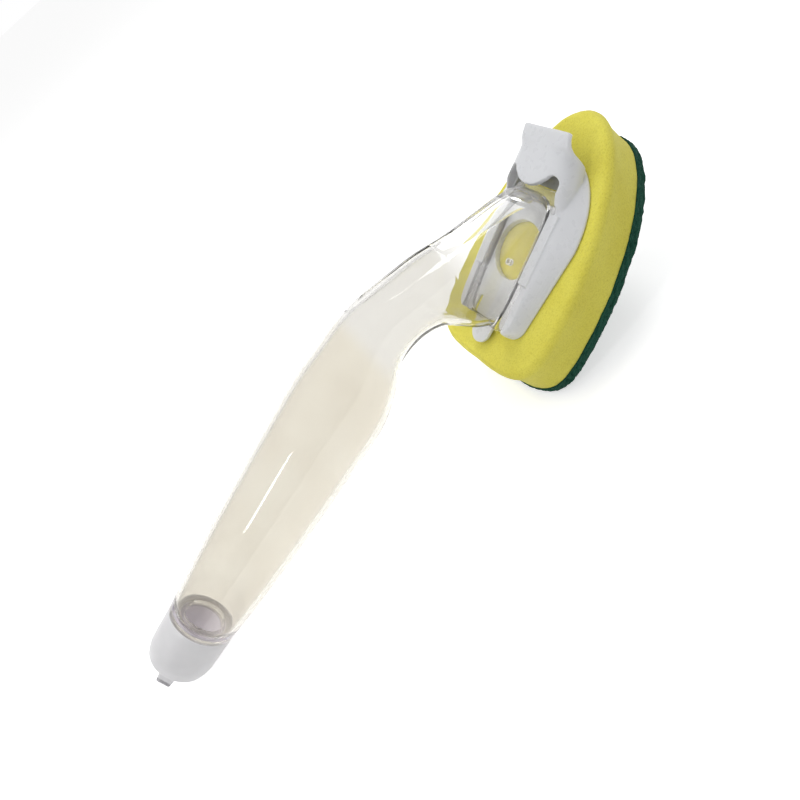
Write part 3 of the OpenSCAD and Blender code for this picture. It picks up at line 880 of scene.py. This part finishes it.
# Where along the row's X the tinted grip passes into the neck and the neck into the clear foot, m
NECK_START = (0.0113, 0.0183)
FOOT_START = (0.0483, 0.0683)


def clear_plastic():
    """Clear plastic, warmer in the grip. Rays from lamps pass it, so that they reach what is behind."""
    m = Nodes("clear_plastic", (0.93, 0.92, 0.88), 0.03)
    m.set(IOR=1.32, Coat_Weight=0.35, Coat_IOR=1.5, Coat_Roughness=0.03)
    split = m.add("ShaderNodeSeparateXYZ")
    m.wire(m.place, split.inputs["Vector"])

    def stepped(value, start, end, top=1):
        node = m.add("ShaderNodeMapRange", interpolation_type="SMOOTHSTEP")
        node.inputs["To Max"].default_value = top
        node.inputs["From Min"].default_value = start
        node.inputs["From Max"].default_value = end
        m.wire(value, node.inputs["Value"])
        return node.outputs["Result"]

    def math_node(operation, first, second=None):
        node = m.add("ShaderNodeMath", operation=operation)
        m.wire(first, node.inputs[0])
        if second:
            m.wire(second, node.inputs[1])
        return node.outputs[0]

    def measured(operation, vector, output):
        node = m.add("ShaderNodeVectorMath", operation=operation)
        node.inputs[1].default_value = vector
        m.wire(m.place, node.inputs[0])
        return node.outputs[output]

    filler = stepped(measured("DOT_PRODUCT", FILLER_AXIS, "Value"), FILLER_START, FILLER_START - 0.0005)
    side = math_node("ABSOLUTE", split.outputs["Y"])
    low = stepped(measured("DOT_PRODUCT", HEAD_UP, "Value"), RIM_TOP, RIM_TOP - 0.0008, RIM_CLOUD)
    rim = math_node("MULTIPLY", math_node("MULTIPLY", stepped(side, RIM_SIDE, RIM_SIDE + 0.0004), low),
                    stepped(split.outputs["X"], *FOOT_START))
    toe = stepped(measured("DOT_PRODUCT", HEAD_AHEAD, "Value"), TOE_START, TOE_END, TOE_CLOUD)
    outlet = stepped(measured("DISTANCE", OUTLET_AT, "Value"), 0.0018, 0.0014)
    cloudy = math_node("MAXIMUM", filler, math_node("MAXIMUM", toe, math_node("MAXIMUM", rim, outlet)))
    clarity = m.add("ShaderNodeMapRange")
    clarity.inputs["To Min"].default_value = CLEAR
    clarity.inputs["To Max"].default_value = CLOUDY
    m.wire(cloudy, clarity.inputs["Value"])
    m.wire(clarity.outputs["Result"], m.shader.inputs["Transmission Weight"])
    grip = m.ramp(m.noise(22, 2), [(0.3, (0.775, 0.747, 0.686)), (0.7, (0.805, 0.785, 0.73))])
    neck = m.mix(stepped(split.outputs["X"], *NECK_START), grip, (0.8, 0.79, 0.765, 1))
    foot = m.mix(stepped(split.outputs["X"], *FOOT_START), neck, (0.985, 0.985, 0.98, 1))
    m.wire(m.mix(cloudy, foot, (0.95, 0.93, 0.99, 1)), m.shader.inputs["Base Color"])
    m.bump(m.noise(9, 1, 0.4), 0.12, 0.4)
    m.let_lamps_pass((0.99, 0.985, 0.97))
    return m.material


def moulded(name, colour, shade, roughness, glow=(0.4, 2.5), passing=None):
    """Satin moulded plastic with faint flow marks. glow is its scattering: weight, and reach in
    mm; passing is what each surface lets through to the pieces inside."""
    m = Nodes(name, colour, roughness)
    m.wire(m.ramp(m.noise(7, 3), [(0.35, shade), (0.65, colour)]), m.shader.inputs["Base Color"])
    m.wire(m.ramp(m.noise(2.5, 3), [(0.3, (roughness - 0.06,) * 3), (0.7, (roughness + 0.07,) * 3)]),
           m.shader.inputs["Roughness"])
    m.set(Subsurface_Weight=glow[0], Subsurface_Radius=(1.0, 0.97, 1.0), Subsurface_Scale=glow[1] * MM)
    m.bump(m.noise(5, 2), 0.03, 0.3)
    if passing:
        m.let_lamps_pass(passing)
    return m.material


# How far from the outlet the foam turns a little darker, m
OUTLET_DARK_REACH = (0.016, 0.013)


def foam_material():
    """Yellow foam, a little darker and browner round the outlet."""
    m = Nodes("yellow_foam", (0.76, 0.695, 0.11), 0.85)
    cloud = m.ramp(m.noise(14, 3), [(0.3, (0.73, 0.66, 0.095)), (0.7, (0.79, 0.73, 0.125))])
    grain = m.ramp(m.noise(0.6, 4, 0.65), [(0.3, (0.86, 0.85, 0.78)), (0.55, (1, 1, 1))])
    # Painted shade in the pores: the middles of small cells are darkened to a brownish yellow
    pore_shade = m.ramp(m.cells(0.8), [(0.05, (0.8, 0.77, 0.6)), (0.22, (1, 1, 1))])
    foam_tone = m.mix(1.0, m.mix(1.0, cloud, grain, "MULTIPLY"), pore_shade, "MULTIPLY")
    # Round the outlet the foam's colour is multiplied a little darker and browner
    away = m.add("ShaderNodeVectorMath", operation="DISTANCE")
    away.inputs[1].default_value = OUTLET_AT
    m.wire(m.place, away.inputs[0])
    near_outlet = m.add("ShaderNodeMapRange", interpolation_type="SMOOTHSTEP")
    near_outlet.inputs["From Min"].default_value = OUTLET_DARK_REACH[0]
    near_outlet.inputs["From Max"].default_value = OUTLET_DARK_REACH[1]
    m.wire(away.outputs["Value"], near_outlet.inputs["Value"])
    m.wire(m.mix(near_outlet.outputs["Result"], foam_tone, m.mix(1.0, foam_tone, (0.93, 0.9, 0.85, 1), "MULTIPLY")),
           m.shader.inputs["Base Color"])
    m.set(Specular_IOR_Level=0.2, Sheen_Weight=0.1, Subsurface_Weight=0.2,
          Subsurface_Radius=(1.0, 0.9, 0.3), Subsurface_Scale=2 * MM)
    m.bump(m.cells(0.8), 0.12, 0.5)
    m.bump(m.noise(0.5, 4, 0.7), 0.1, 0.6)
    return m.material


def scourer_material(name, dark, light):
    """Matted green fibre, lighter along its strands."""
    m = Nodes(name, dark, 0.75)
    strands = m.noise(0.6, 5, 0.7, (1, 1, 2.5))
    m.wire(m.ramp(strands, [(0.35, dark), (0.75, light)]), m.shader.inputs["Base Color"])
    m.set(Specular_IOR_Level=0.2)
    m.bump(strands, 0.4, 0.8)
    return m.material


# Stage

FLOOR_REACH = 6
FLOOR_COLOUR = (0.86, 0.86, 0.86)
FLOOR_GLOW = 0.5
SKY_LIGHT = 0.53
SKY_SEEN = 1.0


def camera_sees(tree, mirrored):
    """1 for what the camera sees directly or through glass, and in a reflection if mirrored. Not for light
    on its way to a matt surface."""
    rays = tree.nodes.new("ShaderNodeLightPath")
    first = tree.nodes.new("ShaderNodeMath")
    first.operation = "MAXIMUM"
    second = tree.nodes.new("ShaderNodeMath")
    second.operation = "MAXIMUM"
    tree.links.new(rays.outputs["Is Camera Ray"], first.inputs[0])
    first.inputs[1].default_value = 0
    if mirrored:
        tree.links.new(rays.outputs["Is Glossy Ray"], first.inputs[1])
    tree.links.new(first.outputs[0], second.inputs[0])
    tree.links.new(rays.outputs["Is Transmission Ray"], second.inputs[1])
    seen = tree.nodes.new("ShaderNodeMath")
    seen.operation = "SUBTRACT"
    seen.use_clamp = True
    tree.links.new(second.outputs[0], seen.inputs[0])
    tree.links.new(rays.outputs["Diffuse Depth"], seen.inputs[1])
    return seen.outputs[0]


def stage():
    """A plain pale floor that takes the object's shadow."""
    corners = [(-FLOOR_REACH, -FLOOR_REACH, 0), (FLOOR_REACH, -FLOOR_REACH, 0),
               (FLOOR_REACH, FLOOR_REACH, 0), (-FLOOR_REACH, FLOOR_REACH, 0)]
    mesh = bpy.data.meshes.new("floor")
    mesh.from_pydata(corners, [], [(0, 1, 2, 3)])
    floor = link("floor", mesh)
    material = bpy.data.materials.new("pale_floor")
    material.use_nodes = True
    tree = material.node_tree
    shader = tree.nodes["Principled BSDF"]
    shader.inputs["Base Color"].default_value = (*FLOOR_COLOUR, 1)
    shader.inputs["Roughness"].default_value = 0.9
    shader.inputs["Specular IOR Level"].default_value = 0.1
    glow = tree.nodes.new("ShaderNodeMath")
    glow.operation = "MULTIPLY"
    glow.inputs[1].default_value = FLOOR_GLOW
    tree.links.new(camera_sees(tree, True), glow.inputs[0])
    shader.inputs["Emission Color"].default_value = (1, 1, 1, 1)
    tree.links.new(glow.outputs[0], shader.inputs["Emission Strength"])
    mesh.materials.append(material)


def world():
    """A plain white sky, dimmer as a light than where it is seen."""
    sky = bpy.data.worlds.new("studio")
    sky.use_nodes = True
    bpy.context.scene.world = sky
    tree = sky.node_tree
    back = tree.nodes["Background"]
    back.inputs["Color"].default_value = (1, 1, 1, 1)
    level = tree.nodes.new("ShaderNodeMapRange")
    level.inputs["To Min"].default_value = SKY_LIGHT
    level.inputs["To Max"].default_value = SKY_SEEN
    tree.links.new(camera_sees(tree, False), level.inputs["Value"])
    tree.links.new(level.outputs["Result"], back.inputs["Strength"])


def lamp(name, at, aim, width, height, watts, mirrored=True):
    """A soft rectangular lamp. mirrored says whether it shows in reflections."""
    data = bpy.data.lights.new(name, "AREA")
    data.shape = "RECTANGLE"
    data.size = width
    data.size_y = height
    data.energy = watts
    obj = bpy.data.objects.new(name, data)
    obj.location = at
    obj.visible_transmission = False
    obj.visible_glossy = mirrored
    obj.rotation_euler = (Vector(aim) - Vector(at)).to_track_quat("-Z", "Y").to_euler()
    bpy.context.collection.objects.link(obj)


# The camera stands where the photographer did: its place in the head frame, mm, and its turn, in degrees
CAMERA_AT = Vector((13.36, -155.82, 148.43))
CAMERA_AZIMUTH = 27.554
CAMERA_ELEVATION = 37.86
CAMERA_ROLL = -83.939
CAMERA_LENS = 26.36
CAMERA_SHIFT = (-0.0152, 0.0314)


def camera():
    """The camera at the photograph's viewing angle."""
    data = bpy.data.cameras.new("camera")
    data.sensor_width = 36
    data.lens = CAMERA_LENS
    data.shift_x, data.shift_y = CAMERA_SHIFT
    data.clip_start = 0.01
    data.clip_end = 50
    obj = bpy.data.objects.new("camera", data)
    turn = (Matrix.Rotation(-REST_TILT, 4, "Y")
            @ Matrix.Rotation(math.radians(CAMERA_AZIMUTH), 4, "Z")
            @ Matrix.Rotation(math.radians(90 - CAMERA_ELEVATION), 4, "X")
            @ Matrix.Rotation(math.radians(CAMERA_ROLL), 4, "Z"))
    obj.matrix_world = Matrix.Translation(TO_ROW @ CAMERA_AT) @ turn
    bpy.context.collection.objects.link(obj)
    bpy.context.scene.camera = obj


def build():
    camera()
    stage()
    world()
    lamp("key", (-0.67, -0.26, 0.62), (-0.02, 0, 0.04), 0.05, 0.2, 0.9)
    lamp("soft", (-0.4, 0.3, 0.95), (0.02, 0, 0.05), 0.8, 0.8, 3.6, mirrored=False)
    lamp("back", (0.58, 0.72, 0.43), (0.07, 0, 0.06), 0.22, 0.22, 0.45)
    lamp("top", (0.5, 0.25, 0.8), (0.04, 0, 0.05), 0.3, 0.3, 1.7)
    white = moulded("white_base", (0.715, 0.725, 0.745), (0.7, 0.71, 0.73), 0.3)
    handle_piece(clear_plastic())
    cap_piece(moulded("white_cap", (0.74, 0.735, 0.745), (0.71, 0.705, 0.715), 0.36,
                      glow=(0.5, 2), passing=(0.85, 0.84, 0.87)))
    seal_piece(moulded("pale_liner", (0.9, 0.88, 0.93), (0.87, 0.85, 0.9), 0.6,
                       glow=(0.8, 5), passing=(0.8, 0.79, 0.82)))
    base_piece(white)
    tongue_piece(white)
    foam_piece(foam_material())
    pad_piece(scourer_material("green_scourer", (0.003, 0.035, 0.022), (0.012, 0.12, 0.07)))
    fibre_piece(scourer_material("green_fibre", (0.006, 0.06, 0.038), (0.04, 0.17, 0.11)))


build()
bpy.context.scene.view_settings.view_transform = "Standard"
